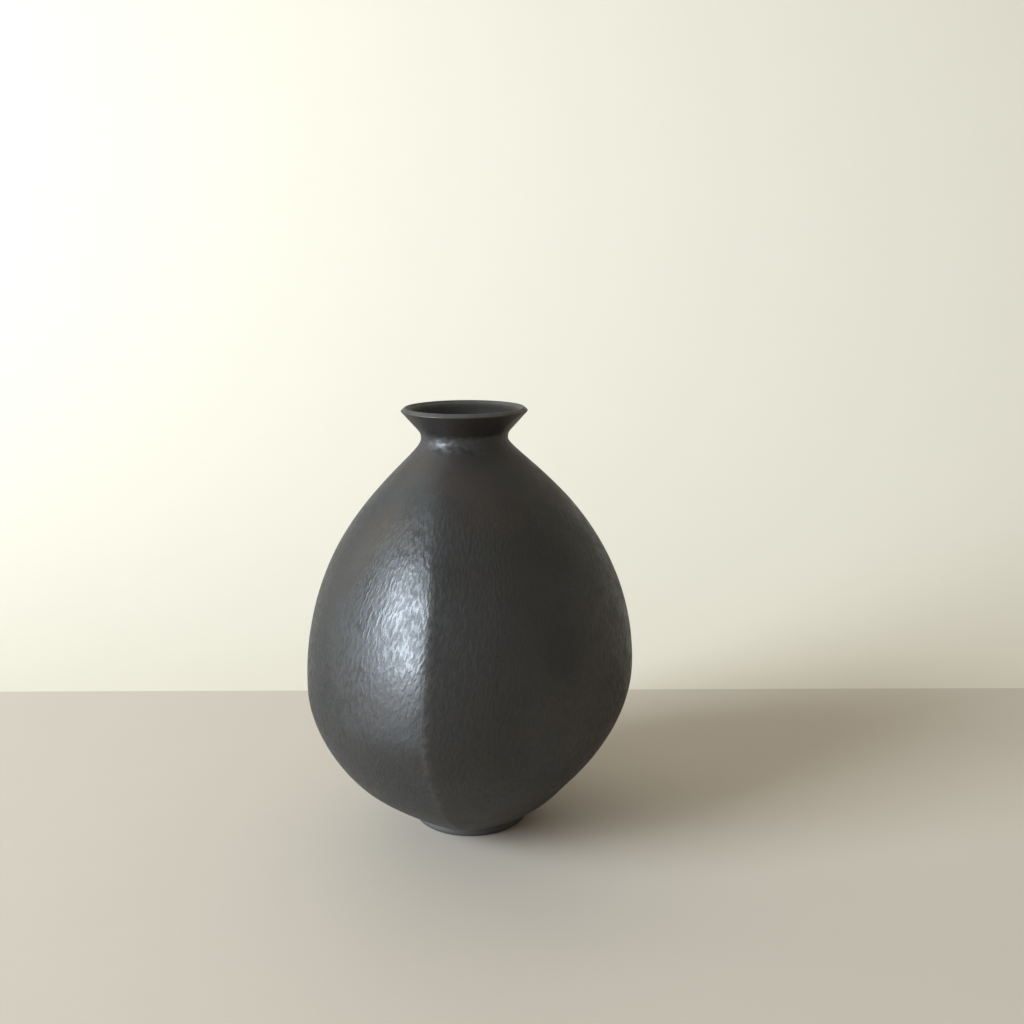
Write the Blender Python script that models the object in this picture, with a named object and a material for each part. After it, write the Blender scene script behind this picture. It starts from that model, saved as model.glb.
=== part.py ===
"""Black clay pot: three bowed wall panels on a round floor and foot, a waisted neck and a flared rim.

Metres, +Z up. The pot stands on Z = 0 with its front towards -Y, and the origin is the centre of
its bounding box at the base. The clay pieces are modelled as the potter forms them, before they
are luted together: a seam of GAP is left between neighbours. Nothing on the pot moves.
"""
import math

import bmesh
import bpy
from mathutils import Matrix, Vector
from mathutils.geometry import interpolate_bezier

# Whole pot
HEIGHT = 0.200
RIM_RADIUS = 0.0290
WAIST_RADIUS = 0.0197
WAIST_HEIGHT = 0.1858
FOOT_RADIUS = 0.0285
GAP = 0.0003

# Body: the outline along a ridge, and the outline down the middle of a panel
PANELS = {"right_wall_panel": 1, "back_wall_panel": 3, "left_wall_panel": 5}   # half steps from ridge
FRONT_RIDGE_TURN = math.radians(-12)     # the front ridge lies a little left of the front
RIDGE_RADIUS = 0.0860
RIDGE_BELLY_HEIGHT = 0.0735
PANEL_RADIUS = 0.0747
PANEL_BELLY_HEIGHT = 0.0677
WALL = 0.0045
RIDGE_NECK_PULL = 0.1793       # pulls: heights and (radius, height) that an outline is drawn towards
RIDGE_SHOULDER_PULL = 0.1427
RIDGE_BELLY_PULL = 0.0535
RIDGE_FOOT_PULL = (0.0425, 0.0060)
PANEL_NECK_PULL = 0.1748
PANEL_SHOULDER_PULL = 0.1481
PANEL_BELLY_PULL = 0.0477
PANEL_FOOT_PULL = (0.0560, 0.0205)

# Floor and foot
FOOT_HEIGHT = 0.0045
FOOT_RING_WIDTH = 0.0065
FLOOR_THICKNESS = 0.0050
BODY_START_RADIUS = 0.0272
FOOT_EDGE = 0.0006             # the bevel round the foot's standing face
FLOOR_EDGE_SHARE = 0.4         # where the floor's edge has its middle corner

# Neck and rim
COLLAR_LOW = 0.1812
COLLAR_HIGH = 0.1892
NECK_WALL = 0.0038
FLARE_START_RADIUS = 0.0206
RIM_EDGE_HEIGHT = 0.1984
LIP_RADIUS = 0.0273
LIP_WIDTH = 0.0006
COLLAR_WAIST_PULL = 0.1838
COLLAR_FLARE_PULL = (0.0191, 0.1872)

# Fineness of the solids
RING_STEPS = 48
PANEL_COLUMNS = 12
PANEL_LEVELS = 20
CURVE_POINTS = 60
WAIST_POINTS = 7
MERGE_DISTANCE = 1e-6
SHARP_EDGE = math.radians(35)

# Finish of the fired clay: colour and roughness
METALLIC_SHEEN = 0.15
FOOT_CLAY = ((0.060, 0.052, 0.046), 0.60)
FLOOR_CLAY = ((0.045, 0.042, 0.040), 0.55)
COLLAR_CLAY = ((0.052, 0.050, 0.052), 0.45)
RIM_CLAY = ((0.048, 0.045, 0.045), 0.45)
PANEL_CLAY = ((0.050, 0.049, 0.052), 0.42)


def make_material(name, colour, roughness, metallic):
    """One Principled BSDF material, also shown in the solid view."""
    material = bpy.data.materials.new(name)
    material.use_nodes = True
    shader = material.node_tree.nodes["Principled BSDF"]
    shader.inputs["Base Color"].default_value = (*colour, 1.0)
    shader.inputs["Roughness"].default_value = roughness
    shader.inputs["Metallic"].default_value = metallic
    material.diffuse_color = (*colour, 1.0)
    return material


def add_piece(name, bm, axis, colour, roughness):
    """Finish a mesh as a named object that hangs on the pot's axis."""
    bmesh.ops.recalc_face_normals(bm, faces=bm.faces)
    mesh = bpy.data.meshes.new(name)
    bm.to_mesh(mesh)
    bm.free()
    mesh.shade_smooth()
    mesh.set_sharp_from_angle(angle=SHARP_EDGE)
    mesh.materials.append(make_material(name + "_clay", colour, roughness, METALLIC_SHEEN))
    piece = bpy.data.objects.new(name, mesh)
    piece.parent = axis
    bpy.context.scene.collection.objects.link(piece)
    return piece


def bezier(start, start_handle, end_handle, end, count):
    """Points (radius, height) of one curve span."""
    knots = [Vector((radius, 0, height)) for radius, height in (start, start_handle, end_handle, end)]
    return [(point.x, point.z) for point in interpolate_bezier(*knots, count)]


def ridge_outline():
    """The body's outline along a ridge, from the waist down to the foot."""
    waist = (WAIST_RADIUS, WAIST_HEIGHT)
    belly = (RIDGE_RADIUS, RIDGE_BELLY_HEIGHT)
    foot = (BODY_START_RADIUS, FOOT_HEIGHT)
    upper = bezier(waist, (WAIST_RADIUS, RIDGE_NECK_PULL), (RIDGE_RADIUS, RIDGE_SHOULDER_PULL),
                   belly, CURVE_POINTS)
    lower = bezier(belly, (RIDGE_RADIUS, RIDGE_BELLY_PULL), RIDGE_FOOT_PULL, foot, CURVE_POINTS)
    return upper + lower[1:]


def panel_outline():
    """The body's outline down the middle of a panel, from the waist down to the foot."""
    waist = (WAIST_RADIUS, WAIST_HEIGHT)
    belly = (PANEL_RADIUS, PANEL_BELLY_HEIGHT)
    foot = (BODY_START_RADIUS, FOOT_HEIGHT)
    upper = bezier(waist, (WAIST_RADIUS, PANEL_NECK_PULL), (PANEL_RADIUS, PANEL_SHOULDER_PULL),
                   belly, CURVE_POINTS)
    lower = bezier(belly, (PANEL_RADIUS, PANEL_BELLY_PULL), PANEL_FOOT_PULL, foot, CURVE_POINTS)
    return upper + lower[1:]


def radius_and_slope(outline, height):
    """The outline's radius at a height, and how fast the radius changes with height there."""
    for (upper_radius, upper), (lower_radius, lower) in zip(outline, outline[1:]):
        if lower <= height <= upper:
            slope = (upper_radius - lower_radius) / (upper - lower)
            return lower_radius + slope * (height - lower), slope
    raise ValueError(f"the outline does not reach {height}")


def inner_radius(outline, height):
    """The radius inside the wall, whose thickness is measured square to its slope."""
    radius, slope = radius_and_slope(outline, height)
    return radius - WALL * math.hypot(1, slope)


def panel_arc(ridge_radius, middle_radius, height):
    """One panel's bowed line from ridge to ridge, middle towards -Y, short of each ridge by half a gap."""
    half_turn = math.pi / len(PANELS)
    ridge_forward = ridge_radius * math.cos(half_turn)
    ridge_aside = ridge_radius * math.sin(half_turn)
    centre = (ridge_radius ** 2 - middle_radius ** 2) / (2 * (ridge_forward - middle_radius) or 1)
    bow_radius = middle_radius - centre
    reach = math.atan2(ridge_aside, ridge_forward - centre) - 0.5 * GAP / bow_radius
    points = []
    for column in range(PANEL_COLUMNS + 1):
        angle = reach * (2 * column / PANEL_COLUMNS - 1)
        points.append((bow_radius * math.sin(angle), -centre - bow_radius * math.cos(angle), height))
    return points


def chain(bm, points):
    """An open row of edges through the points."""
    verts = [bm.verts.new(point) for point in points]
    return verts, [bm.edges.new(pair) for pair in zip(verts, verts[1:])]


def wall_panel():
    """A bowed slab: rings of edges round its thickness, bridged from the floor up to the collar."""
    along_ridge = ridge_outline()
    along_middle = panel_outline()
    low = FOOT_HEIGHT + FLOOR_THICKNESS + 2 * GAP
    high = COLLAR_LOW - GAP
    bm = bmesh.new()
    rings = []
    for level in range(PANEL_LEVELS + 1):
        share = 0.5 - 0.5 * math.cos(math.pi * level / PANEL_LEVELS)
        height = low + (high - low) * share
        outer_ridge = radius_and_slope(along_ridge, height)[0]
        outer_middle = radius_and_slope(along_middle, height)[0]
        outer, outer_edges = chain(bm, panel_arc(outer_ridge, outer_middle, height))
        inner_ridge = inner_radius(along_ridge, height)
        inner_middle = inner_radius(along_middle, height)
        inner, inner_edges = chain(bm, panel_arc(inner_ridge, inner_middle, height))
        ends = [bm.edges.new((outer[0], inner[0])), bm.edges.new((outer[-1], inner[-1]))]
        rings.append((outer_edges, inner_edges, ends))
    for lower, upper in zip(rings, rings[1:]):
        bmesh.ops.bridge_loops(bm, edges=sum(lower, []) + sum(upper, []))
    for outer_edges, inner_edges, _ in (rings[0], rings[-1]):
        bmesh.ops.bridge_loops(bm, edges=outer_edges + inner_edges)
    return bm


def turned(profile, closed):
    """A round piece: a profile (radius, height) spun once round the axis."""
    bm = bmesh.new()
    verts, edges = chain(bm, [(radius, 0, height) for radius, height in profile])
    if closed:
        edges.append(bm.edges.new((verts[-1], verts[0])))
    bmesh.ops.spin(bm, geom=verts + edges, axis=(0, 0, 1), cent=(0, 0, 0), angle=2 * math.pi,
                   steps=RING_STEPS, use_merge=True)
    bmesh.ops.remove_doubles(bm, verts=bm.verts, dist=MERGE_DISTANCE)
    return bm


def foot_ring():
    """The low coil under the floor, a little wider where it stands than at the top."""
    inner = FOOT_RADIUS - FOOT_RING_WIDTH
    top = FOOT_HEIGHT - GAP
    return turned([(inner, FOOT_EDGE), (inner + FOOT_EDGE, 0), (FOOT_RADIUS - FOOT_EDGE, 0),
                   (FOOT_RADIUS, FOOT_EDGE), (BODY_START_RADIUS, top), (inner, top)], closed=True)


def floor_disc():
    """The round slab that the panels stand on. Its edge follows the start of the body's outline."""
    outline = panel_outline()
    top = FOOT_HEIGHT + FLOOR_THICKNESS
    middle = FOOT_HEIGHT + FLOOR_EDGE_SHARE * FLOOR_THICKNESS
    return turned([(0, FOOT_HEIGHT), (BODY_START_RADIUS, FOOT_HEIGHT),
                   (radius_and_slope(outline, middle)[0], middle),
                   (radius_and_slope(outline, top)[0], top), (0, top)], closed=False)


def neck_collar():
    """The waisted ring between the panels and the rim."""
    shoulder = radius_and_slope(ridge_outline(), COLLAR_LOW)[0]
    start = (shoulder, COLLAR_LOW)
    end = (FLARE_START_RADIUS, COLLAR_HIGH)
    outer = bezier(start, (WAIST_RADIUS, COLLAR_WAIST_PULL), COLLAR_FLARE_PULL, end, WAIST_POINTS)
    inner = [(radius - NECK_WALL, height) for radius, height in outer]
    return turned(outer + inner[::-1], closed=True)


def flared_rim():
    """The thin mouth: a straight flare out to a sharp edge, with a narrow bevel up to the lip."""
    start = COLLAR_HIGH + GAP
    bore = FLARE_START_RADIUS - NECK_WALL
    return turned([(FLARE_START_RADIUS, start), (RIM_RADIUS, RIM_EDGE_HEIGHT), (LIP_RADIUS, HEIGHT),
                   (LIP_RADIUS - LIP_WIDTH, HEIGHT), (bore, start)], closed=True)


def stand_on_origin(axis, pieces):
    """Move the pot's axis so that the origin is the middle of its bounding box, at the base."""
    bpy.context.view_layer.update()
    corners = [piece.matrix_world @ vert.co for piece in pieces for vert in piece.data.vertices]
    for side in (0, 1):
        places = [corner[side] for corner in corners]
        axis.location[side] = -(min(places) + max(places)) / 2


def main():
    for old in list(bpy.data.objects):
        bpy.data.objects.remove(old)
    axis = bpy.data.objects.new("pot_axis", None)
    bpy.context.scene.collection.objects.link(axis)
    pieces = [
        add_piece("foot_ring", foot_ring(), axis, *FOOT_CLAY),
        add_piece("floor_disc", floor_disc(), axis, *FLOOR_CLAY),
        add_piece("neck_collar", neck_collar(), axis, *COLLAR_CLAY),
        add_piece("flared_rim", flared_rim(), axis, *RIM_CLAY),
    ]
    for name, half_steps in PANELS.items():
        panel = add_piece(name, wall_panel(), axis, *PANEL_CLAY)
        turn = FRONT_RIDGE_TURN + half_steps * math.pi / len(PANELS)
        panel.rotation_euler = Matrix.Rotation(turn, 3, "Z").to_euler()
        pieces.append(panel)
    stand_on_origin(axis, pieces)


main()
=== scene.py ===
"""Three-sided black clay pot: the visible clay of every piece, its burnished finish, and a plain studio.

Metres, +Z up, front towards -Y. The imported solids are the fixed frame. Each one is replaced by a finer
piece in the same place, and all the pieces are cut from one skin, so that their luted seams close.
"""
import math

import bmesh
import bpy
import numpy as np
from bpy.props import FloatProperty, FloatVectorProperty, IntProperty, PointerProperty
from mathutils import Euler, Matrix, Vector, noise
from mathutils.geometry import interpolate_bezier


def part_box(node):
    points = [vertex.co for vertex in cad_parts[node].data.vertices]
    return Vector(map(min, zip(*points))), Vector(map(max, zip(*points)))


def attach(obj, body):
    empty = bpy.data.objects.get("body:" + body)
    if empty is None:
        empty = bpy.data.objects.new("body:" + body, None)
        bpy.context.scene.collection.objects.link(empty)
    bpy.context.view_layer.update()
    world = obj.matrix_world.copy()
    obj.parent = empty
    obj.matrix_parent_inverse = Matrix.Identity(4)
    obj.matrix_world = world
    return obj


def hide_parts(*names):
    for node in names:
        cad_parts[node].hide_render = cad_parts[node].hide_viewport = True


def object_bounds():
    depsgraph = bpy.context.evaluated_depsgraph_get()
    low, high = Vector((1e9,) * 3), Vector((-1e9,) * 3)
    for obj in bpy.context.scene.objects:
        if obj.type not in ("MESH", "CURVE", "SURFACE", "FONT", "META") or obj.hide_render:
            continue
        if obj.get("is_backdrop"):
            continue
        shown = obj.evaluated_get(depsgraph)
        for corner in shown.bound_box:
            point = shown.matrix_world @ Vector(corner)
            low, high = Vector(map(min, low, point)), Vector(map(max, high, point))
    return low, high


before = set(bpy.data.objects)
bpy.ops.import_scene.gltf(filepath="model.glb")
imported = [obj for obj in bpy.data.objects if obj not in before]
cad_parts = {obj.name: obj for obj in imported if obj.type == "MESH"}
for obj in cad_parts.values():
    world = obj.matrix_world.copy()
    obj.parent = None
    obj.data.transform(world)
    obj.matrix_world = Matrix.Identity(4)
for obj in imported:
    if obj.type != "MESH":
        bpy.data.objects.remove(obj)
CAD_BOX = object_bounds()

bl_info = {
    "name": "Black Clay Pot",
    "version": (1, 0, 0),
    "blender": (4, 5, 0),
    "location": "View3D > Sidebar > Clay Pot",
    "description": "Builds the burnished clay of a three-sided black pot round its packed frame",
    "category": "Object",
}

SIDES = 3
SIDE_ANGLE = 2 * math.pi / SIDES
HALF_SIDE = math.pi / SIDES
WALLS = {"right_wall_panel": 0, "back_wall_panel": 1, "left_wall_panel": 2}    # sides on from the front ridge
UV_PER_METRE = 5.0       # the walls' UV maps hold distances on the clay, at this scale


def seam_height(lower, upper):
    """The height of the luted seam between two neighbours of the frame."""
    return (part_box(lower)[1].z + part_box(upper)[0].z) / 2


FOOT_SEAM = seam_height("foot_ring", "floor_disc")
FLOOR_SEAM = seam_height("floor_disc", "left_wall_panel")
SHOULDER_SEAM = seam_height("left_wall_panel", "neck_collar")
FLARE_SEAM = seam_height("neck_collar", "flared_rim")
POT_TOP = CAD_BOX[1][2]

# The outlines of the body: the handles of its curves from the foot to the belly and on up to the flare.
RIDGE_PULLS = {"foot": (0.0425, 0.0060), "under_belly": 0.0515, "over_belly": 0.1427, "neck": 0.1788}
PANEL_PULLS = {"foot": (0.0560, 0.0205), "under_belly": 0.0477, "over_belly": 0.1481, "neck": 0.1743}
WAIST_PULL = 0.0018             # upwards from the waist
FLARE_START = (0.0215, 0.1900)  # the radius and height from which the flare runs straight
FLARE_PULL = 0.0020             # back from there, in line with the flare

# Heights (from, to) over which something comes in or fades out.
SWAY_TO_NECK = (0.120, 0.180)
SWAY_TO_FOOT = 0.060
SOFT_AT_BELLY = (0.030, 0.065)
SOFT_AT_SHOULDER = (0.145, 0.180)
CREASE_IN = (FOOT_SEAM - 0.004, 0.009)
CREASE_OUT = (0.018, 0.050)
FOOT_OFFSET_OUT = (0.009, 0.027)
BELLY_SHIFT_OUT = (0.027, 0.055)
WAVES_IN = (0.012, 0.035)
WAVES_OUT = (0.160, 0.178)
MARKS_IN = (0.012, 0.030)
MARKS_OUT = (0.155, 0.175)
RUBBING_OUT = (0.120, 0.155)

# How soft a ridge is, as shares of its arris: near the foot, and what the belly and the shoulder add.
ARRIS_LOW = 0.40
ARRIS_BELLY = 0.55
ARRIS_SHOULDER = 3

# The marks of making on the walls: their sizes, their shares and the places of their patterns.
WIDE_WAVE = 0.034
CLOSE_WAVE = 0.011
CLOSE_WAVE_SHARE = 0.35
CLOSE_WAVE_PLACE = 5.0
MARK_WIDTH = 0.0018
MARK_LENGTH = 0.0042
MARK_PLACE = 11.0
MARK_CLEARANCE = 0.0016         # how far marks keep off a ridge
RUBBED_WIDTH = 0.0018           # how far a ridge is rubbed to each side

# The grid of a wall panel. A band is how much closer the steps stand at an edge, and its width.
WALL_COLUMNS = 330
WALL_ROWS = 140
RIDGE_BAND = (5, 0.03)
SEAM_BAND = (1.5, 0.05)
OUTLINE_SAMPLES = 2001
BAND_SAMPLES = 4001

# The turned pieces.
FLOOR_ROWS = 12
COLLAR_ROWS = 30
FLANK_ROWS = 26
TURNING_RELIEF = 0.000012
TURNING_PITCH = 0.00065
TURNING_PLACE = (0.3, 0.7)
INSIDE_MATT_AND_SHADE_EDGE = 0.0005              # how softly the rough inside, painted dark as shade, ends at the wall's middle
INSIDE_MATT_AND_SHADE_DEPTH = (0.0008, 0.0030)   # how far below the lip the rough inside, painted dark as shade, begins
FOOT_EDGE = 0.0019              # how round the foot is where it stands
FOOT_LEDGE = 0.0002             # how far the foot's top stands out under the body
FOOT_SIDE_PULL = 0.0027         # the heights of the handles of the foot's side
FOOT_TOP_PULL = 0.0036
MERGE_DISTANCE = 1e-6
SHARP_EDGE = math.radians(40)

# The rim's profile: points (radius, height), or steps (outwards, up) from the point that is named.
FLANK_STOP = 0.0003             # below the rim's edge
EDGE_FROM = (-0.00004, -0.00008)
EDGE_TO = (0, 0.00008)
BEVEL_FROM_EDGE = (-0.00012, 0.00022)
BEVEL_PULLS = ((0.02835, 0.1991), (0.0279, 0.1996))
BEVEL_FROM_LIP = (0.00022, -0.00020)
LIP_PULL = 0.00008
INNER_LIP_FROM_LIP = (-0.0004, -0.0006)
INNER_LIP_PULL = 0.0003
THROAT_PULL = (0.0238, 0.1974)
BORE_PULL = (0.0016, 0.1950)    # out from the bore, and its height

# Clouds in the clay: size, detail, roughness, and the place of the pattern.
SMOKE_CLOUD = (0.045, 3.0, 0.55, (0, 0, 0))
OLIVE_CLOUD = (0.055, 2.0, 0.5, (0.3, 0.1, 0.2))
IRON_CLOUD = (0.040, 3.0, 0.5, (0.9, 0.4, 0.6))
RUBBED_CLOUD = (0.004, 3.0, 0.55, (0, 0, 0))
LIP_CLOUD = (0.006, 3.0, 0.55, (0, 0, 0))
MATT_CLOUD = (0.012, 3.0, 0.6, (0.2, 0.8, 0.5))
DENT_CLOUD = (0.0042, 1.0, 0.5, (0.6, 0.2, 0.1))
TABLE_CLOUD = (0.05, 4.0, 0.55, (0, 0, 0))
GRAIN_DETAIL = 4.0
GRAIN_ROUGHNESS = 0.65

# Ramps in the clay: the range of a cloud or a height, and the shares it runs between (0 to 1 if not given).
SMOKE_RAMP = (0.35, 0.65)
OLIVE_RAMP = (0.45, 0.75, 0.0, 0.5)
IRON_RAMP = (0.42, 0.68)
IRON_NEAR_FOOT = (0.050, 0.012, 0.0, 0.45)
IRON_NEAR_NECK = (0.125, 0.160, 0.0, 0.25)
# Painted light: the low body painted paler towards the foot, as light from the table below.
PAINTED_LIGHT_NEAR_FOOT = (0.070, 0.010, 0.0, 0.60)
# Painted shade: the shoulder painted darker, as shade.
PAINTED_SHADE_AT_SHOULDER = (0.095, 0.160, 0.0, 0.10)
RUBBED_RAMP = (0.40, 0.62)
LIP_RAMP = (POT_TOP - 0.0017, POT_TOP - 0.0010)
LIP_PATCHES = (0.25, 0.60, 0.35, 0.75)
SPECK_RAMP = (0.030, 0.018)
MATT_RAMP = (0.3, 0.7)
GRAIN_GLOSS = (0.35, 0.70, -0.03, 0.05)
STROKE_RAMP = (0.36, 0.64)
STROKE_GLOSS = (0.36, 0.64, 0.07, -0.07)
STROKES_IN = (0.015, 0.045)
STROKES_OUT = (0.178, 0.150)

# The finish: shares, spacings, depths and the metal sheen of graphite.
RUBBED_SHARE = 0.55
SPECK_SPACING = 0.021
SPECK_SHARE = 0.5
# The share of near-black painted inside the mouth as shade.
INSIDE_SHADE_SHARE = 0.85
SOOT_ROUGHNESS = 0.25
MATT_LESS = 0.06
MATT_MORE = 0.07
GRAIN_DEPTH = 0.00003
GRAIN_STRENGTH = 0.6
DENT_DEPTH = 0.0008
LINE_SCALE = (8.0, 8.0, 1400.0)
LINE_DETAIL = 2.0
LINE_DEPTH = 0.00003
STROKE_NOISE = {"Scale": 1.0, "Detail": 1.0, "Roughness": 0.5, "Distortion": 0.25}
SHEEN = {"Metallic": 0.60, "Specular IOR Level": 1.0, "Specular Tint": (0.36, 0.36, 0.37, 1.0)}

# The stage, the light and the camera.
STAGE_REACH = 3.0
BACKDROP_BEND = 0.56
BACKDROP_TOP = 3.0
BACKDROP_STEPS = 40
TABLE_BEHIND_POT = 0.157
GROUND_GAP = 0.00005
TABLE = {"tone": (0.485, 0.423, 0.348), "rough": 0.55, "fleck": 0.03}
BACKDROP = {"tone": (0.63, 0.573, 0.468), "rough": 0.8, "fleck": 0.02}
WINDOW_DISTANCE = 3.5
WINDOW_SIZE = (1.65, 2.10)
WINDOW_TONE = (0.76, 0.88, 1.0)
ROOM_TONE = (1.0, 0.94, 0.84, 1.0)
SENSOR_WIDTH = 36
CAMERA_NEAR = 0.01


def length(name, description, default):
    """A size in metres that the sidebar shows."""
    return FloatProperty(name=name, description=description, default=default, unit="LENGTH", precision=5)


def angle(name, description, degrees):
    """An angle that the sidebar shows in degrees."""
    return FloatProperty(name=name, description=description, default=math.radians(degrees), unit="ROTATION")


def colour(name, description, default):
    """A linear colour that the sidebar shows as a swatch."""
    return FloatVectorProperty(name=name, description=description, default=default, subtype="COLOR",
                               size=3, min=0, max=1)


class PotForm(bpy.types.PropertyGroup):
    """The sizes of the pot's skin."""
    ridge_radius: length("Ridge radius", "From the axis to a ridge, at its widest", 0.0860)
    ridge_height: length("Ridge belly height", "Where a ridge stands furthest out", 0.0735)
    panel_radius: length("Panel radius", "From the axis to the middle of a panel, at its widest", 0.0747)
    panel_height: length("Panel belly height", "Where the middle of a panel stands furthest out", 0.0677)
    body_start_radius: length("Body start radius", "The body's radius on top of the foot", 0.0272)
    foot_radius: length("Foot radius", "Outside radius of the foot where it stands", 0.0278)
    foot_width: length("Foot width", "Width of the foot's coil", 0.0065)
    belly_shift: length("Belly shift", "How far the low belly sits to -X of the axis", 0.0006)
    foot_offset: length("Foot offset", "How far the foot sits to one side of the body", 0.0024)
    waist_radius: length("Waist radius", "Outside radius at the narrowest part of the neck", 0.0200)
    waist_height: length("Waist height", "Height of the narrowest part of the neck", 0.1858)
    rim_radius: length("Rim radius", "Radius of the rim's sharp outer edge", 0.0290)
    rim_edge_height: length("Rim edge height", "Height of the rim's sharp outer edge", 0.1984)
    lip_radius: length("Lip radius", "Radius of the lip on top of the rim's bevel", 0.0273)
    lip_width: length("Lip width", "Width of the lip's top", 0.0006)
    wall: length("Wall", "Thickness of the body's wall", 0.0045)
    neck_wall: length("Neck wall", "Thickness of the neck's wall", 0.0038)
    arris: length("Arris", "How far the softened edge of a ridge reaches to each side", 0.0021)
    ridge_turn: angle("Ridge turn", "Where the front ridge stands, from the front", -9.0)
    ridge_sway_up: angle("Ridge sway up", "How far the ridges turn on their way to the neck", -4.6)
    ridge_sway_down: angle("Ridge sway down", "How far the ridges turn on their way to the foot", 4.85)
    lean: angle("Lean", "How far the pot leans towards +X", 0.38)
    unevenness: length("Unevenness", "Height of the slow waves that hands leave in the walls", 0.00016)
    crease: length("Crease", "How far a ridge stands proud of the low walls", 0.0007)
    crease_width: length("Crease width", "How far the proud ridge runs out into the low walls", 0.0065)
    mark_depth: length("Mark depth", "Depth of the burnishing strokes in the clay itself", 0.000025)
    turning_steps: IntProperty(name="Turning steps", description="Steps in a turned piece", default=240)


class ClayFinish(bpy.types.PropertyGroup):
    """The colours and the burnish of the clay."""
    graphite: colour("Graphite", "The smoked clay", (0.058, 0.057, 0.056))
    smoke: colour("Smoke", "The darker clouds in the smoked clay", (0.047, 0.047, 0.046))
    iron: colour("Iron", "The brown clay that shows where the smoke is thin", (0.088, 0.062, 0.048))
    olive: colour("Olive", "The greenish cast in the smoke", (0.057, 0.055, 0.045))
    # Painted shade: this near-black is painted inside the mouth and over the shoulder as shade.
    painted_shade: colour("Soot", "The unburnished inside of the mouth", (0.016, 0.014, 0.012))
    # This paler colour is rubbed wear on ridges, lip and specks, and is also painted over the low body as
    # light from below.
    worn_and_lit: colour("Worn", "Clay rubbed paler on ridges and edges", (0.105, 0.101, 0.096))
    roughness: FloatProperty(name="Roughness", description="How matt the burnish is", default=0.40,
                             min=0, max=1, subtype="FACTOR")
    stroke_width: length("Stroke width", "Width of one burnishing stroke", 0.0018)
    stroke_length: length("Stroke length", "Length of one burnishing stroke", 0.0040)
    stroke_relief: length("Stroke relief", "Relief of the strokes in the finish", 0.000068)
    stroke_lean: angle("Stroke lean", "How far the strokes lean from upright", 14)
    grain_size: length("Grain size", "Size of the clay's grain", 0.0006)


class Studio(bpy.types.PropertyGroup):
    """The camera and the light."""
    camera_side: length("Camera side", "How far the camera stands to +X of the pot's axis", 0.0229)
    camera_distance: length("Camera distance", "How far the camera stands before the pot's axis", 0.4916)
    camera_height: length("Camera height", "Height of the camera", 0.2591)
    camera_pitch: angle("Camera pitch", "How far the camera looks down", 12.43)
    camera_roll: angle("Camera roll", "How far the camera is turned round its own axis", -0.2)
    lens: FloatProperty(name="Lens", description="Focal length in millimetres", default=37.97)
    window_power: FloatProperty(name="Window power", description="Power of the window light", default=300.0,
                                unit="POWER")
    window_azimuth: angle("Window azimuth", "Where the window stands, from the front towards -X", 64)
    window_elevation: angle("Window elevation", "How high the middle of the window stands", 20)
    room: FloatProperty(name="Room", description="Strength of the light that the room gives back",
                        default=0.43, min=0)


def smooth_share(low, high, value):
    """0 below low, 1 above high, and a smooth rise between them."""
    share = np.clip((value - low) / (high - low), 0, 1)
    return share * share * (3 - 2 * share)


def bezier(start, start_handle, end_handle, end, count=80):
    """Points (radius, height) of one curve span."""
    knots = [Vector((radius, 0, height)) for radius, height in (start, start_handle, end_handle, end)]
    return [(point.x, point.z) for point in interpolate_bezier(*knots, count)]


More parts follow.
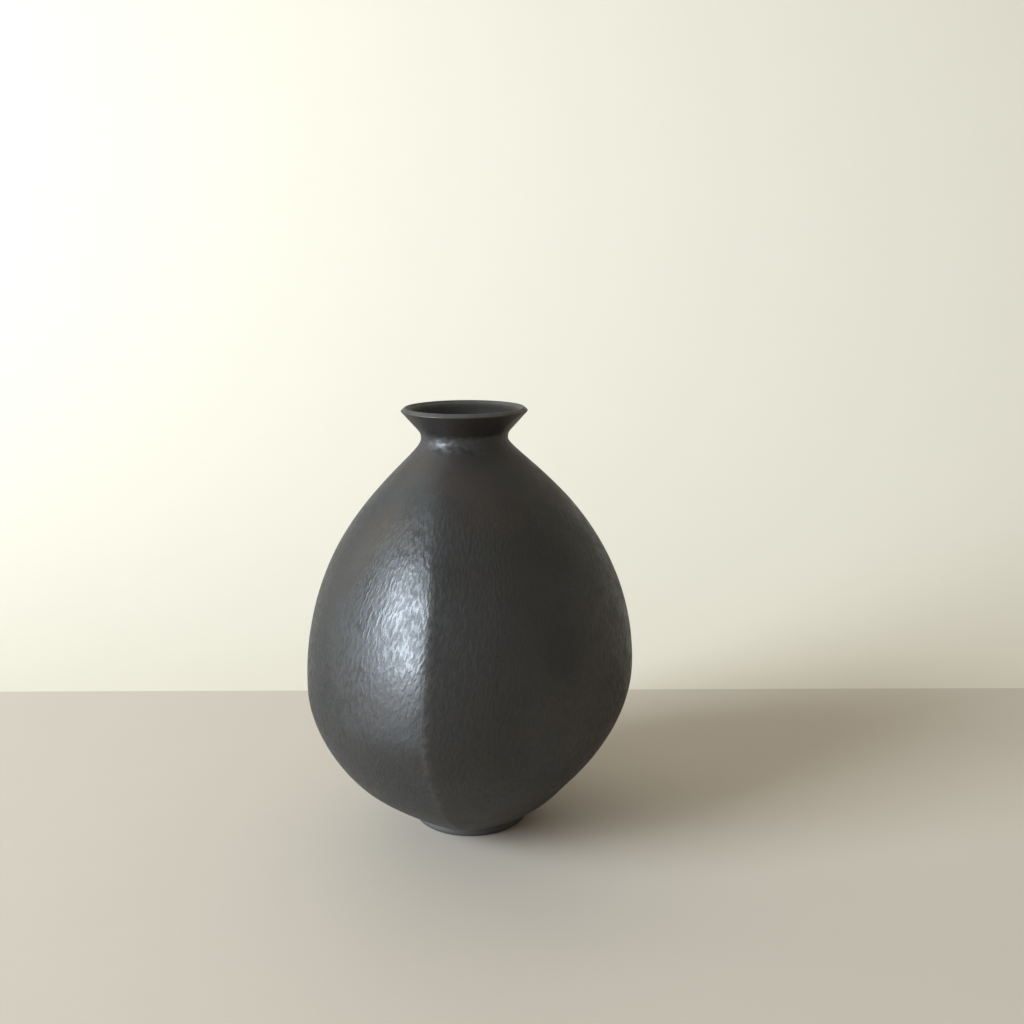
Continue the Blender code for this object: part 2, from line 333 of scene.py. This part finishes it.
class PotSkin:
    """The outer surface of the whole pot: a radius for every azimuth and height.

    An azimuth is counted from the front, towards +X.
    """

    def __init__(self, form):
        self.form = form
        low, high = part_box("foot_ring")
        self.axis_x = (low.x + high.x) / 2
        self.axis_y = (low.y + high.y) / 2
        self.ridge = self.table(self.outline(form.ridge_radius, form.ridge_height, RIDGE_PULLS))
        self.middle = self.table(self.outline(form.panel_radius, form.panel_height, PANEL_PULLS))

    def outline(self, radius, height, pulls):
        """From the foot out to the belly at this radius and height, in to the waist and up the neck."""
        form = self.form
        start = (form.body_start_radius, FOOT_SEAM)
        belly = (radius, height)
        waist = (form.waist_radius, form.waist_height)
        low = bezier(start, pulls["foot"], (radius, pulls["under_belly"]), belly)
        high = bezier(belly, (radius, pulls["over_belly"]), (form.waist_radius, pulls["neck"]), waist)
        return low + high[1:] + self.neck_outline()[1:]

    def neck_outline(self):
        """From the waist round its tight hollow and straight out along the flare to the rim's edge."""
        form = self.form
        waist = (form.waist_radius, form.waist_height)
        above_waist = (form.waist_radius, form.waist_height + WAIST_PULL)
        edge = Vector((form.rim_radius, form.rim_edge_height))
        flare = Vector(FLARE_START)
        before = flare - (edge - flare).normalized() * FLARE_PULL
        return bezier(waist, above_waist, tuple(before), tuple(flare), 24) + [tuple(edge)]

    @staticmethod
    def table(outline):
        """Heights and radii, lowest first, as arrays."""
        return (np.array([height for _, height in outline]), np.array([radius for radius, _ in outline]))

    def ridge_azimuth(self, height):
        """Where the front ridge stands at a height. The other ridges follow it round."""
        form = self.form
        up = smooth_share(*SWAY_TO_NECK, height)
        down = smooth_share(0.0, SWAY_TO_FOOT, SWAY_TO_FOOT - height)
        return form.ridge_turn + form.ridge_sway_up * up + form.ridge_sway_down * down

    def middle_radius(self, height):
        """The radius down the middle of a panel."""
        return np.interp(height, *self.middle)

    def radius(self, azimuth, height):
        """Three bowed sides that meet in softened ridges, and round where the two outlines agree."""
        ridge = np.interp(height, *self.ridge)
        share = np.interp(height, *self.middle) / ridge
        across = (azimuth - self.ridge_azimuth(height) + HALF_SIDE) % SIDE_ANGLE - HALF_SIDE
        soften = ARRIS_LOW + ARRIS_BELLY * smooth_share(*SOFT_AT_BELLY, height)
        soften = soften + ARRIS_SHOULDER * smooth_share(*SOFT_AT_SHOULDER, height)
        corner = self.form.arris * soften / ridge
        away = np.sqrt(across ** 2 + corner ** 2) - corner
        away = away * HALF_SIDE / (np.sqrt(HALF_SIDE ** 2 + corner ** 2) - corner)
        inside = HALF_SIDE - away
        centre = (1 - share ** 2) / (2 * (math.cos(HALF_SIDE) - share))
        bow = share - centre
        bowed = ridge * (centre * np.cos(inside) + np.sqrt(bow ** 2 - (centre * np.sin(inside)) ** 2))
        low = smooth_share(*CREASE_IN, height) * (1 - smooth_share(*CREASE_OUT, height))
        return bowed + self.form.crease * low * np.exp(-away * ridge / self.form.crease_width)

    def place(self, azimuth, height, radius):
        """The points at these radii from the pot's own leaning axis."""
        form = self.form
        side = self.axis_x + math.tan(form.lean) * height
        above_foot = smooth_share(*FOOT_OFFSET_OUT, height)
        side = side + form.foot_offset * (1 - above_foot)
        side = side - form.belly_shift * above_foot * (1 - smooth_share(*BELLY_SHIFT_OUT, height))
        return np.stack([side + radius * np.sin(azimuth), self.axis_y - radius * np.cos(azimuth),
                         height * np.ones_like(radius)], axis=-1)

    def hand_waves(self, places):
        """The slow unevenness of hand-built walls at each place, none at the neck and the foot."""
        height = places[:, 2]
        fade = smooth_share(*WAVES_IN, height) * (1 - smooth_share(*WAVES_OUT, height))
        wide = np.array([noise.noise(place / WIDE_WAVE) for place in places])
        close = np.array([noise.noise(place / CLOSE_WAVE + CLOSE_WAVE_PLACE) for place in places])
        return self.form.unevenness * fade * (wide + CLOSE_WAVE_SHARE * close)


def graded_steps(count, dense_places, extra, width):
    """count + 1 places from 0 to 1, closer together near the dense places."""
    fine = np.linspace(0, 1, BAND_SAMPLES)
    density = np.ones_like(fine)
    for place in dense_places:
        density += extra * np.exp(-((fine - place) / width) ** 2)
    share = np.concatenate([[0], np.cumsum((density[1:] + density[:-1]) / 2)])
    return np.interp(np.linspace(0, 1, count + 1), share / share[-1], fine)


def add_piece(name, bm, node, material):
    """Finish a mesh as a piece that stands for its CAD node and takes the given finish."""
    if bm.calc_volume(signed=True) < 0:
        bmesh.ops.reverse_faces(bm, faces=bm.faces)
    mesh = bpy.data.meshes.new(name)
    bm.to_mesh(mesh)
    bm.free()
    mesh.shade_smooth()
    mesh.set_sharp_from_angle(angle=SHARP_EDGE)
    mesh.materials.append(material)
    piece = bpy.data.objects.new(name, mesh)
    bpy.context.scene.collection.objects.link(piece)
    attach(piece, "root")
    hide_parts(node)


def wall_panel(skin, side):
    """One bowed slab: a grid laid on the skin from ridge to ridge, with its marks, thickened inwards."""
    form = skin.form
    bm = bmesh.new()
    uv = bm.loops.layers.uv.new("strokes")
    wear = bm.verts.layers.float.new("ridge_wear")
    bmesh.ops.create_grid(bm, x_segments=WALL_COLUMNS, y_segments=WALL_ROWS, size=0.5)
    column_steps = graded_steps(WALL_COLUMNS, (0, 1), *RIDGE_BAND)
    row_steps = graded_steps(WALL_ROWS, (0, 1), *SEAM_BAND)
    level = np.linspace(FLOOR_SEAM, SHOULDER_SEAM, OUTLINE_SAMPLES)
    slant = np.hypot(np.diff(skin.middle_radius(level)), np.diff(level))
    walked = np.concatenate([[0], np.cumsum(slant)])
    grid = np.array([vert.co for vert in bm.verts])
    column = np.interp(grid[:, 0] + 0.5, np.linspace(0, 1, WALL_COLUMNS + 1), column_steps)
    along = np.interp(grid[:, 1] + 0.5, np.linspace(0, 1, WALL_ROWS + 1), row_steps) * walked[-1]
    across = (column - 0.5) * SIDE_ANGLE * form.panel_radius
    height = np.interp(along, walked, level)
    turn = skin.ridge_azimuth(height) + SIDE_ANGLE * (side + column)
    radius = skin.radius(turn, height)
    from_ridge = (0.5 - abs(column - 0.5)) * SIDE_ANGLE * radius
    fade = smooth_share(0, MARK_CLEARANCE, from_ridge) * smooth_share(*MARKS_IN, height)
    fade = fade * (1 - smooth_share(*MARKS_OUT, height))
    marks = [noise.noise((x / MARK_WIDTH, z / MARK_LENGTH, MARK_PLACE * side)) for x, z in zip(across, along)]
    waves = skin.hand_waves(skin.place(turn, height, radius))
    radius = radius + waves + form.mark_depth / 2 * np.array(marks) * fade
    rubbed = np.exp(-(from_ridge / RUBBED_WIDTH) ** 2) * (1 - smooth_share(*RUBBING_OUT, height))
    for vert, place, rub in zip(bm.verts, skin.place(turn, height, radius), rubbed):
        vert.co = place
        vert[wear] = rub
    bm.normal_update()
    for face in bm.faces:
        for loop in face.loops:
            index = loop.vert.index
            loop[uv].uv = (across[index] * UV_PER_METRE, along[index] * UV_PER_METRE)
    face = next(iter(bm.faces))
    outwards = face.calc_center_median() - Vector((skin.axis_x, skin.axis_y, face.calc_center_median().z))
    if face.normal.dot(outwards) < 0:
        bmesh.ops.reverse_faces(bm, faces=bm.faces)
    bmesh.ops.solidify(bm, geom=bm.faces[:], thickness=form.wall)
    return bm


def mouth_radius(skin, height):
    """The radius that parts the unburnished inside of a turned piece, painted dark as shade, from its
    outside.
    """
    return float(skin.middle_radius(height)) - skin.form.neck_wall / 2 if height > FLOOR_SEAM else 0.0


def turned(skin, profile, follow_skin):
    """A profile (radius, height) spun round the pot's axis, which bows out with the skin if it follows it."""
    bm = bmesh.new()
    inside = bm.verts.layers.float.new("inside")
    verts = [bm.verts.new((radius, 0, height)) for radius, height in profile]
    edges = [bm.edges.new(pair) for pair in zip(verts, verts[1:])]
    if profile[0][0] > 0:
        edges.append(bm.edges.new((verts[-1], verts[0])))
    bmesh.ops.spin(bm, geom=verts + edges, axis=(0, 0, 1), cent=(0, 0, 0), angle=2 * math.pi,
                   steps=skin.form.turning_steps, use_merge=True)
    bmesh.ops.remove_doubles(bm, verts=bm.verts, dist=MERGE_DISTANCE)
    bmesh.ops.recalc_face_normals(bm, faces=bm.faces)
    for vert in bm.verts:
        radius = math.hypot(vert.co.x, vert.co.y)
        height = vert.co.z
        azimuth = math.atan2(vert.co.x, -vert.co.y)
        # Inside the mouth below the lip: rougher, and painted near black as shade.
        within = smooth_share(0.0, INSIDE_MATT_AND_SHADE_EDGE, mouth_radius(skin, height) - radius)
        vert[inside] = float(within * smooth_share(*INSIDE_MATT_AND_SHADE_DEPTH, POT_TOP - height))
        if follow_skin:
            radius *= float(skin.radius(azimuth, height) / skin.middle_radius(height))
        vert.co = skin.place(azimuth, height, radius)
    return bm


def turning_line(height):
    """The faint ridges that turning leaves round the neck and rim."""
    return TURNING_RELIEF * noise.noise(Vector((*TURNING_PLACE, height / TURNING_PITCH)))


def new_node(tree, kind, inputs=None, **settings):
    """Add a node, with its settings and inputs. An input that is itself a socket is linked."""
    node = tree.nodes.new(kind)
    for name, value in settings.items():
        setattr(node, name, value)
    for name, value in (inputs or {}).items():
        if isinstance(value, bpy.types.NodeSocket):
            tree.links.new(value, node.inputs[name])
        else:
            node.inputs[name].default_value = value
    return node


def mixed(tree, factor, first, second):
    """A colour between two colours."""
    node = new_node(tree, "ShaderNodeMix", data_type="RGBA")
    for index, value in ((0, factor), (6, first), (7, second)):
        if isinstance(value, bpy.types.NodeSocket):
            tree.links.new(value, node.inputs[index])
        else:
            node.inputs[index].default_value = value if index == 0 else (*value, 1.0)
    return node.outputs[2]


def ranged(tree, value, low, high, to_low=0.0, to_high=1.0):
    """A value mapped from one range to another, smoothly, and held at the ends."""
    node = new_node(tree, "ShaderNodeMapRange", {"Value": value, "From Min": low, "From Max": high,
                                                 "To Min": to_low, "To Max": to_high},
                    interpolation_type="SMOOTHSTEP")
    return node.outputs["Result"]


def maths(tree, operation, first, second):
    """Two values put together."""
    node = new_node(tree, "ShaderNodeMath", {0: first, 1: second}, operation=operation)
    return node.outputs["Value"]


def cloud(tree, vector, size, detail, roughness, place):
    """Soft noise whose lumps have about this size."""
    moved = new_node(tree, "ShaderNodeMapping", {"Vector": vector, "Location": place})
    node = new_node(tree, "ShaderNodeTexNoise", {"Vector": moved.outputs["Vector"], "Scale": 1 / size,
                                                 "Detail": detail, "Roughness": roughness})
    return node.outputs["Fac"]


def smoked_and_painted_light_colour(tree, place, height, finish, iron):
    """The clouded grey of smoked clay, browner with iron, with painted light towards the foot and painted
    shade on the shoulder.
    """
    smoke = ranged(tree, cloud(tree, place, *SMOKE_CLOUD), *SMOKE_RAMP)
    body = mixed(tree, smoke, finish.graphite, finish.smoke)
    cast = ranged(tree, cloud(tree, place, *OLIVE_CLOUD), *OLIVE_RAMP)
    body = mixed(tree, cast, body, finish.olive)
    patches = ranged(tree, cloud(tree, place, *IRON_CLOUD), *IRON_RAMP)
    near_foot = ranged(tree, height, *IRON_NEAR_FOOT)
    near_neck = ranged(tree, height, *IRON_NEAR_NECK)
    share = maths(tree, "ADD", maths(tree, "ADD", near_foot, near_neck), iron)
    body = mixed(tree, maths(tree, "MULTIPLY", patches, share), body, finish.iron)
    # Painted light: the low body painted paler towards the foot, as light from below.
    body = mixed(tree, ranged(tree, height, *PAINTED_LIGHT_NEAR_FOOT), body, finish.worn_and_lit)
    # Painted shade: the shoulder painted darker, as shade.
    return mixed(tree, ranged(tree, height, *PAINTED_SHADE_AT_SHOULDER), body, finish.painted_shade)


def wear_and_inside_shade_colour(tree, place, height, inside_shade_and_matt, finish, body):
    """The colour rubbed paler on ridges and lip, with its specks, and painted near black as shade inside the
    mouth.
    """
    wear = new_node(tree, "ShaderNodeAttribute", attribute_name="ridge_wear").outputs["Fac"]
    patchy = ranged(tree, cloud(tree, place, *RUBBED_CLOUD), *RUBBED_RAMP)
    rubbed = maths(tree, "MULTIPLY", maths(tree, "MULTIPLY", wear, patchy), RUBBED_SHARE)
    body = mixed(tree, rubbed, body, finish.worn_and_lit)
    lip_patches = ranged(tree, cloud(tree, place, *LIP_CLOUD), *LIP_PATCHES)
    lip = maths(tree, "MULTIPLY", ranged(tree, height, *LIP_RAMP), lip_patches)
    body = mixed(tree, lip, body, finish.worn_and_lit)
    dust = new_node(tree, "ShaderNodeTexVoronoi", {"Vector": place, "Scale": 1 / SPECK_SPACING,
                                                   "Randomness": 1.0})
    speck = ranged(tree, dust.outputs["Distance"], *SPECK_RAMP)
    body = mixed(tree, maths(tree, "MULTIPLY", speck, SPECK_SHARE), body, finish.worn_and_lit)
    # Painted shade: the inside of the mouth painted near black.
    return mixed(tree, maths(tree, "MULTIPLY", inside_shade_and_matt, INSIDE_SHADE_SHARE), body, finish.painted_shade)


def bumped(tree, height, depth, strength, below=None):
    """A surface normal raised by a height pattern, on top of the one below it."""
    inputs = {"Height": height, "Distance": depth, "Strength": strength}
    if below is not None:
        inputs["Normal"] = below
    return new_node(tree, "ShaderNodeBump", inputs).outputs["Normal"]


def turned_marks(tree, place, turned_lines, dented, normal):
    """The dents of thumbs and the fine level lines that turning leaves."""
    normal = bumped(tree, cloud(tree, place, *DENT_CLOUD), DENT_DEPTH, dented, normal)
    flattened = new_node(tree, "ShaderNodeMapping", {"Vector": place, "Scale": LINE_SCALE})
    lines = new_node(tree, "ShaderNodeTexNoise", {"Vector": flattened.outputs["Vector"], "Scale": 1.0,
                                                  "Detail": LINE_DETAIL})
    return bumped(tree, lines.outputs["Fac"], LINE_DEPTH, turned_lines, normal)


def burnishing_strokes(tree, uv, height, finish):
    """The dabs of the burnishing tool on the UV map, and how much they show at a height."""
    scale = (1 / (finish.stroke_width * UV_PER_METRE), 1 / (finish.stroke_length * UV_PER_METRE), 1)
    leaning = new_node(tree, "ShaderNodeMapping", {"Vector": uv, "Rotation": (0, 0, finish.stroke_lean)})
    drawn = new_node(tree, "ShaderNodeMapping", {"Vector": leaning.outputs["Vector"], "Scale": scale})
    dabs = new_node(tree, "ShaderNodeTexNoise", {"Vector": drawn.outputs["Vector"], **STROKE_NOISE})
    shown = maths(tree, "MULTIPLY", ranged(tree, height, *STROKES_IN), ranged(tree, height, *STROKES_OUT))
    return dabs.outputs["Fac"], shown


def clay(name, finish, strokes=0.0, turned_lines=0.0, dented=0.0, iron=0.12, bare=0.0):
    """Smoked and burnished clay: clouded colour, iron showing through, rubbed edges, painted light and shade,
    strokes and grain.
    """
    material = bpy.data.materials.new(name)
    material.use_nodes = True
    tree = material.node_tree
    shader = tree.nodes["Principled BSDF"]
    coordinates = new_node(tree, "ShaderNodeTexCoord")
    place = coordinates.outputs["Object"]
    height = new_node(tree, "ShaderNodeSeparateXYZ", {"Vector": place}).outputs["Z"]
    inside_shade_and_matt = new_node(tree, "ShaderNodeAttribute", attribute_name="inside").outputs["Fac"]
    body = smoked_and_painted_light_colour(tree, place, height, finish, iron)
    body = wear_and_inside_shade_colour(tree, place, height, inside_shade_and_matt, finish, body)

    grain = cloud(tree, place, finish.grain_size, GRAIN_DETAIL, GRAIN_ROUGHNESS, (0, 0, 0))
    matt = cloud(tree, place, *MATT_CLOUD)
    middle = finish.roughness + bare
    gloss = ranged(tree, matt, *MATT_RAMP, middle - MATT_LESS, middle + MATT_MORE)
    gloss = maths(tree, "ADD", gloss, ranged(tree, grain, *GRAIN_GLOSS))
    gloss = maths(tree, "ADD", gloss, maths(tree, "MULTIPLY", inside_shade_and_matt, SOOT_ROUGHNESS))
    normal = bumped(tree, grain, GRAIN_DEPTH, GRAIN_STRENGTH)
    if turned_lines:
        normal = turned_marks(tree, place, turned_lines, dented, normal)
    if strokes:
        dabs, shown = burnishing_strokes(tree, coordinates.outputs["UV"], height, finish)
        raised = maths(tree, "SUBTRACT", ranged(tree, dabs, *STROKE_RAMP), 0.5)
        relief = maths(tree, "MULTIPLY", raised, shown)
        normal = bumped(tree, relief, finish.stroke_relief, strokes, normal)
        rubbing = maths(tree, "MULTIPLY", ranged(tree, dabs, *STROKE_GLOSS), shown)
        gloss = maths(tree, "ADD", gloss, rubbing)
    tree.links.new(body, shader.inputs["Base Color"])
    tree.links.new(gloss, shader.inputs["Roughness"])
    tree.links.new(normal, shader.inputs["Normal"])
    for socket, value in SHEEN.items():
        shader.inputs[socket].default_value = value
    material.diffuse_color = (*finish.graphite, 1.0)
    return material


class POT_OT_walls(bpy.types.Operator):
    """Lay the three bowed wall panels on the skin, ridge to ridge"""
    bl_idname = "clay_pot.walls"
    bl_label = "Wall Panels"

    def execute(self, context):
        skin = PotSkin(context.scene.pot_form)
        burnished = clay("burnished_wall_clay", context.scene.pot_finish, strokes=1.0)
        for node, side in WALLS.items():
            piece_name = node.replace("_panel", "")
            add_piece(piece_name, wall_panel(skin, side), node, burnished)
        return {"FINISHED"}


class POT_OT_floor(bpy.types.Operator):
    """Shape the round floor slab, whose edge carries the body's outline down to the foot"""
    bl_idname = "clay_pot.floor"
    bl_label = "Floor"

    def execute(self, context):
        skin = PotSkin(context.scene.pot_form)
        levels = np.linspace(FOOT_SEAM, FLOOR_SEAM, FLOOR_ROWS)
        edge = [(float(skin.middle_radius(level)), float(level)) for level in levels]
        slab = turned(skin, [(0, FOOT_SEAM), *edge, (0, FLOOR_SEAM)], True)
        finish = clay("floor_clay", context.scene.pot_finish, iron=0.1)
        add_piece("floor", slab, "floor_disc", finish)
        return {"FINISHED"}


class POT_OT_foot(bpy.types.Operator):
    """Turn the low foot ring, with a softened edge where it stands"""
    bl_idname = "clay_pot.foot"
    bl_label = "Foot Ring"

    def execute(self, context):
        form = context.scene.pot_form
        skin = PotSkin(form)
        outer = form.foot_radius
        inner = outer - form.foot_width
        soft = FOOT_EDGE
        top = float(skin.middle_radius(FOOT_SEAM)) + FOOT_LEDGE
        profile = [(inner, FOOT_SEAM), (inner, soft)]
        profile += bezier((inner, soft), (inner, soft / 3), (inner + soft / 3, 0), (inner + soft, 0), 5)[1:]
        profile += bezier((outer - soft, 0), (outer - soft / 3, 0), (outer, soft / 3), (outer, soft), 5)
        profile += bezier((outer, soft), (outer, FOOT_SIDE_PULL), (top + FOOT_LEDGE, FOOT_TOP_PULL),
                          (top, FOOT_SEAM), 9)[1:]
        finish = clay("foot_clay", context.scene.pot_finish, iron=-0.25, bare=0.30)
        add_piece("foot", turned(skin, profile, False), "foot_ring", finish)
        return {"FINISHED"}


class POT_OT_collar(bpy.types.Operator):
    """Throw the waisted neck collar between the panels and the rim"""
    bl_idname = "clay_pot.collar"
    bl_label = "Neck Collar"

    def execute(self, context):
        form = context.scene.pot_form
        skin = PotSkin(form)
        levels = np.linspace(SHOULDER_SEAM, FLARE_SEAM, COLLAR_ROWS)
        outside = [(float(skin.middle_radius(level)), float(level)) for level in levels]
        inside = [(radius - form.neck_wall, level) for radius, level in outside[::-3]]
        finish = clay("neck_clay", context.scene.pot_finish, turned_lines=0.5, dented=0.8, iron=0.15)
        add_piece("neck", turned(skin, outside + inside, True), "neck_collar", finish)
        return {"FINISHED"}


def step_from(point, step):
    """The point that lies this step (outwards, up) from another."""
    return (point[0] + step[0], point[1] + step[1])


def rim_profile(skin):
    """The rim, from its seam up the flank, round its edge, bevel and lip, and down the throat."""
    form = skin.form
    levels = np.linspace(FLARE_SEAM, form.rim_edge_height - FLANK_STOP, FLANK_ROWS)
    profile = [(float(skin.middle_radius(level)) + turning_line(level), float(level)) for level in levels]
    edge = (form.rim_radius, form.rim_edge_height)
    lip = (form.lip_radius, POT_TOP)
    lip_middle = (form.lip_radius - form.lip_width / 2, POT_TOP)
    lip_inside = (form.lip_radius - form.lip_width, POT_TOP)
    bevel_start = step_from(edge, BEVEL_FROM_EDGE)
    bevel_end = step_from(lip, BEVEL_FROM_LIP)
    inner_lip = step_from(lip_inside, INNER_LIP_FROM_LIP)
    inner_pull = step_from(inner_lip, (INNER_LIP_PULL, INNER_LIP_PULL))
    bore = (float(skin.middle_radius(FLARE_SEAM)) - form.neck_wall, FLARE_SEAM)
    bore_pull = (bore[0] + BORE_PULL[0], BORE_PULL[1])
    profile += bezier(profile[-1], step_from(edge, EDGE_FROM), step_from(edge, EDGE_TO), bevel_start, 5)[1:]
    profile += bezier(bevel_start, *BEVEL_PULLS, bevel_end, 6)[1:]
    profile += bezier(bevel_end, step_from(lip, (LIP_PULL, 0)), lip, lip_middle, 5)[1:]
    profile += bezier(lip_middle, lip_inside, inner_pull, inner_lip, 5)[1:]
    profile += bezier(inner_lip, THROAT_PULL, bore_pull, bore, 16)[1:]
    return profile


class POT_OT_rim(bpy.types.Operator):
    """Throw the thin flared rim, with its sharp edge, narrow bevel and lip"""
    bl_idname = "clay_pot.rim"
    bl_label = "Flared Rim"

    def execute(self, context):
        skin = PotSkin(context.scene.pot_form)
        finish = clay("rim_clay", context.scene.pot_finish, turned_lines=0.5, dented=0.25, iron=0.25)
        add_piece("rim", turned(skin, rim_profile(skin), False), "flared_rim", finish)
        return {"FINISHED"}


def plain_surface(name, tone, rough, fleck):
    """A plain matt surface with a faint cloudiness."""
    material = bpy.data.materials.new(name)
    material.use_nodes = True
    tree = material.node_tree
    shader = tree.nodes["Principled BSDF"]
    place = new_node(tree, "ShaderNodeTexCoord").outputs["Object"]
    darker = [part * (1 - fleck) for part in tone]
    clouded = mixed(tree, cloud(tree, place, *TABLE_CLOUD), darker, tone)
    tree.links.new(clouded, shader.inputs["Base Color"])
    shader.inputs["Roughness"].default_value = rough
    return material


def add_stage_sheet(name, profile, reach, material):
    """A sheet of the stage: a profile (distance back, height) drawn out to both sides."""
    bm = bmesh.new()
    verts = [bm.verts.new((-reach, back, height)) for back, height in profile]
    edges = [bm.edges.new(pair) for pair in zip(verts, verts[1:])]
    drawn = bmesh.ops.extrude_edge_only(bm, edges=edges)["geom"]
    moved = [part for part in drawn if isinstance(part, bmesh.types.BMVert)]
    bmesh.ops.translate(bm, verts=moved, vec=(2 * reach, 0, 0))
    bmesh.ops.recalc_face_normals(bm, faces=bm.faces)
    if next(iter(bm.faces)).normal.z < 0:
        bmesh.ops.reverse_faces(bm, faces=bm.faces)
    mesh = bpy.data.meshes.new(name)
    bm.to_mesh(mesh)
    bm.free()
    mesh.shade_smooth()
    mesh.materials.append(material)
    sheet = bpy.data.objects.new(name, mesh)
    bpy.context.scene.collection.objects.link(sheet)
    sheet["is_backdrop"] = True


def add_area_light(name, target, azimuth, elevation, distance, size, power, tone):
    """An oblong soft light that faces the target. Azimuth runs from the front towards -X."""
    light = bpy.data.lights.new(name, "AREA")
    light.shape = "RECTANGLE"
    light.size, light.size_y = size
    light.energy = power
    light.color = tone
    lamp = bpy.data.objects.new(name, light)
    flat = distance * math.cos(elevation)
    offset = Vector((-flat * math.sin(azimuth), -flat * math.cos(azimuth), distance * math.sin(elevation)))
    lamp.location = target + offset
    lamp.rotation_euler = (-offset).to_track_quat("-Z", "Y").to_euler()
    bpy.context.scene.collection.objects.link(lamp)


class POT_OT_studio(bpy.types.Operator):
    """Set the plain floor and backdrop, the window light, the room's light and the camera"""
    bl_idname = "clay_pot.studio"
    bl_label = "Studio"

    def execute(self, context):
        scene = context.scene
        studio = scene.pot_studio
        skin = PotSkin(scene.pot_form)
        axis = Vector((skin.axis_x, skin.axis_y, 0))
        middle = axis + Vector((0, 0, POT_TOP / 2))
        back = axis.y + TABLE_BEHIND_POT
        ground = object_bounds()[0][2] - GROUND_GAP
        table = plain_surface("pale_table", **TABLE)
        paper = plain_surface("pale_backdrop", **BACKDROP)
        add_stage_sheet("studio_floor", [(-STAGE_REACH, ground), (back, ground)], STAGE_REACH, table)
        bend = BACKDROP_BEND
        turns = np.linspace(0, math.pi / 2, BACKDROP_STEPS)
        sweep = [(back + bend * math.sin(turn), ground + bend * (1 - math.cos(turn))) for turn in turns]
        add_stage_sheet("studio_backdrop", [*sweep, (back + bend, BACKDROP_TOP)], STAGE_REACH, paper)
        add_area_light("window", middle, studio.window_azimuth, studio.window_elevation, WINDOW_DISTANCE,
                       WINDOW_SIZE, studio.window_power, WINDOW_TONE)
        world = bpy.data.worlds.new("room")
        world.use_nodes = True
        background = world.node_tree.nodes["Background"]
        background.inputs["Color"].default_value = ROOM_TONE
        background.inputs["Strength"].default_value = studio.room
        scene.world = world
        scene.view_settings.view_transform = "Standard"

        camera_data = bpy.data.cameras.new("camera")
        camera_data.lens = studio.lens
        camera_data.sensor_width = SENSOR_WIDTH
        camera_data.clip_start = CAMERA_NEAR
        camera = bpy.data.objects.new("camera", camera_data)
        camera.location = axis + Vector((studio.camera_side, -studio.camera_distance, studio.camera_height))
        turn = Euler((math.pi / 2 - studio.camera_pitch, 0, 0)).to_matrix()
        turn = turn @ Euler((0, 0, studio.camera_roll)).to_matrix()
        camera.rotation_euler = turn.to_euler()
        scene.collection.objects.link(camera)
        scene.camera = camera
        return {"FINISHED"}


class POT_PT_maker(bpy.types.Panel):
    """The pot's sizes, finish and studio, and a button for each piece"""
    bl_idname = "POT_PT_maker"
    bl_label = "Black Clay Pot"
    bl_space_type = "VIEW_3D"
    bl_region_type = "UI"
    bl_category = "Clay Pot"

    def draw(self, context):
        layout = self.layout
        for group in (context.scene.pot_form, context.scene.pot_finish, context.scene.pot_studio):
            box = layout.box()
            for name in group.__annotations__:
                box.prop(group, name)
        for operator in OPERATORS:
            layout.operator(operator.bl_idname)


GROUPS = {"pot_form": PotForm, "pot_finish": ClayFinish, "pot_studio": Studio}
OPERATORS = (POT_OT_foot, POT_OT_floor, POT_OT_walls, POT_OT_collar, POT_OT_rim, POT_OT_studio)


def register():
    for name, group in GROUPS.items():
        bpy.utils.register_class(group)
        setattr(bpy.types.Scene, name, PointerProperty(type=group))
    for part in (*OPERATORS, POT_PT_maker):
        bpy.utils.register_class(part)


def unregister():
    for part in reversed((*OPERATORS, POT_PT_maker)):
        bpy.utils.unregister_class(part)
    for name, group in GROUPS.items():
        delattr(bpy.types.Scene, name)
        bpy.utils.unregister_class(group)


def main():
    register()
    bpy.ops.clay_pot.foot()
    bpy.ops.clay_pot.floor()
    bpy.ops.clay_pot.walls()
    bpy.ops.clay_pot.collar()
    bpy.ops.clay_pot.rim()
    bpy.ops.clay_pot.studio()


if __name__ == "__main__":
    main()
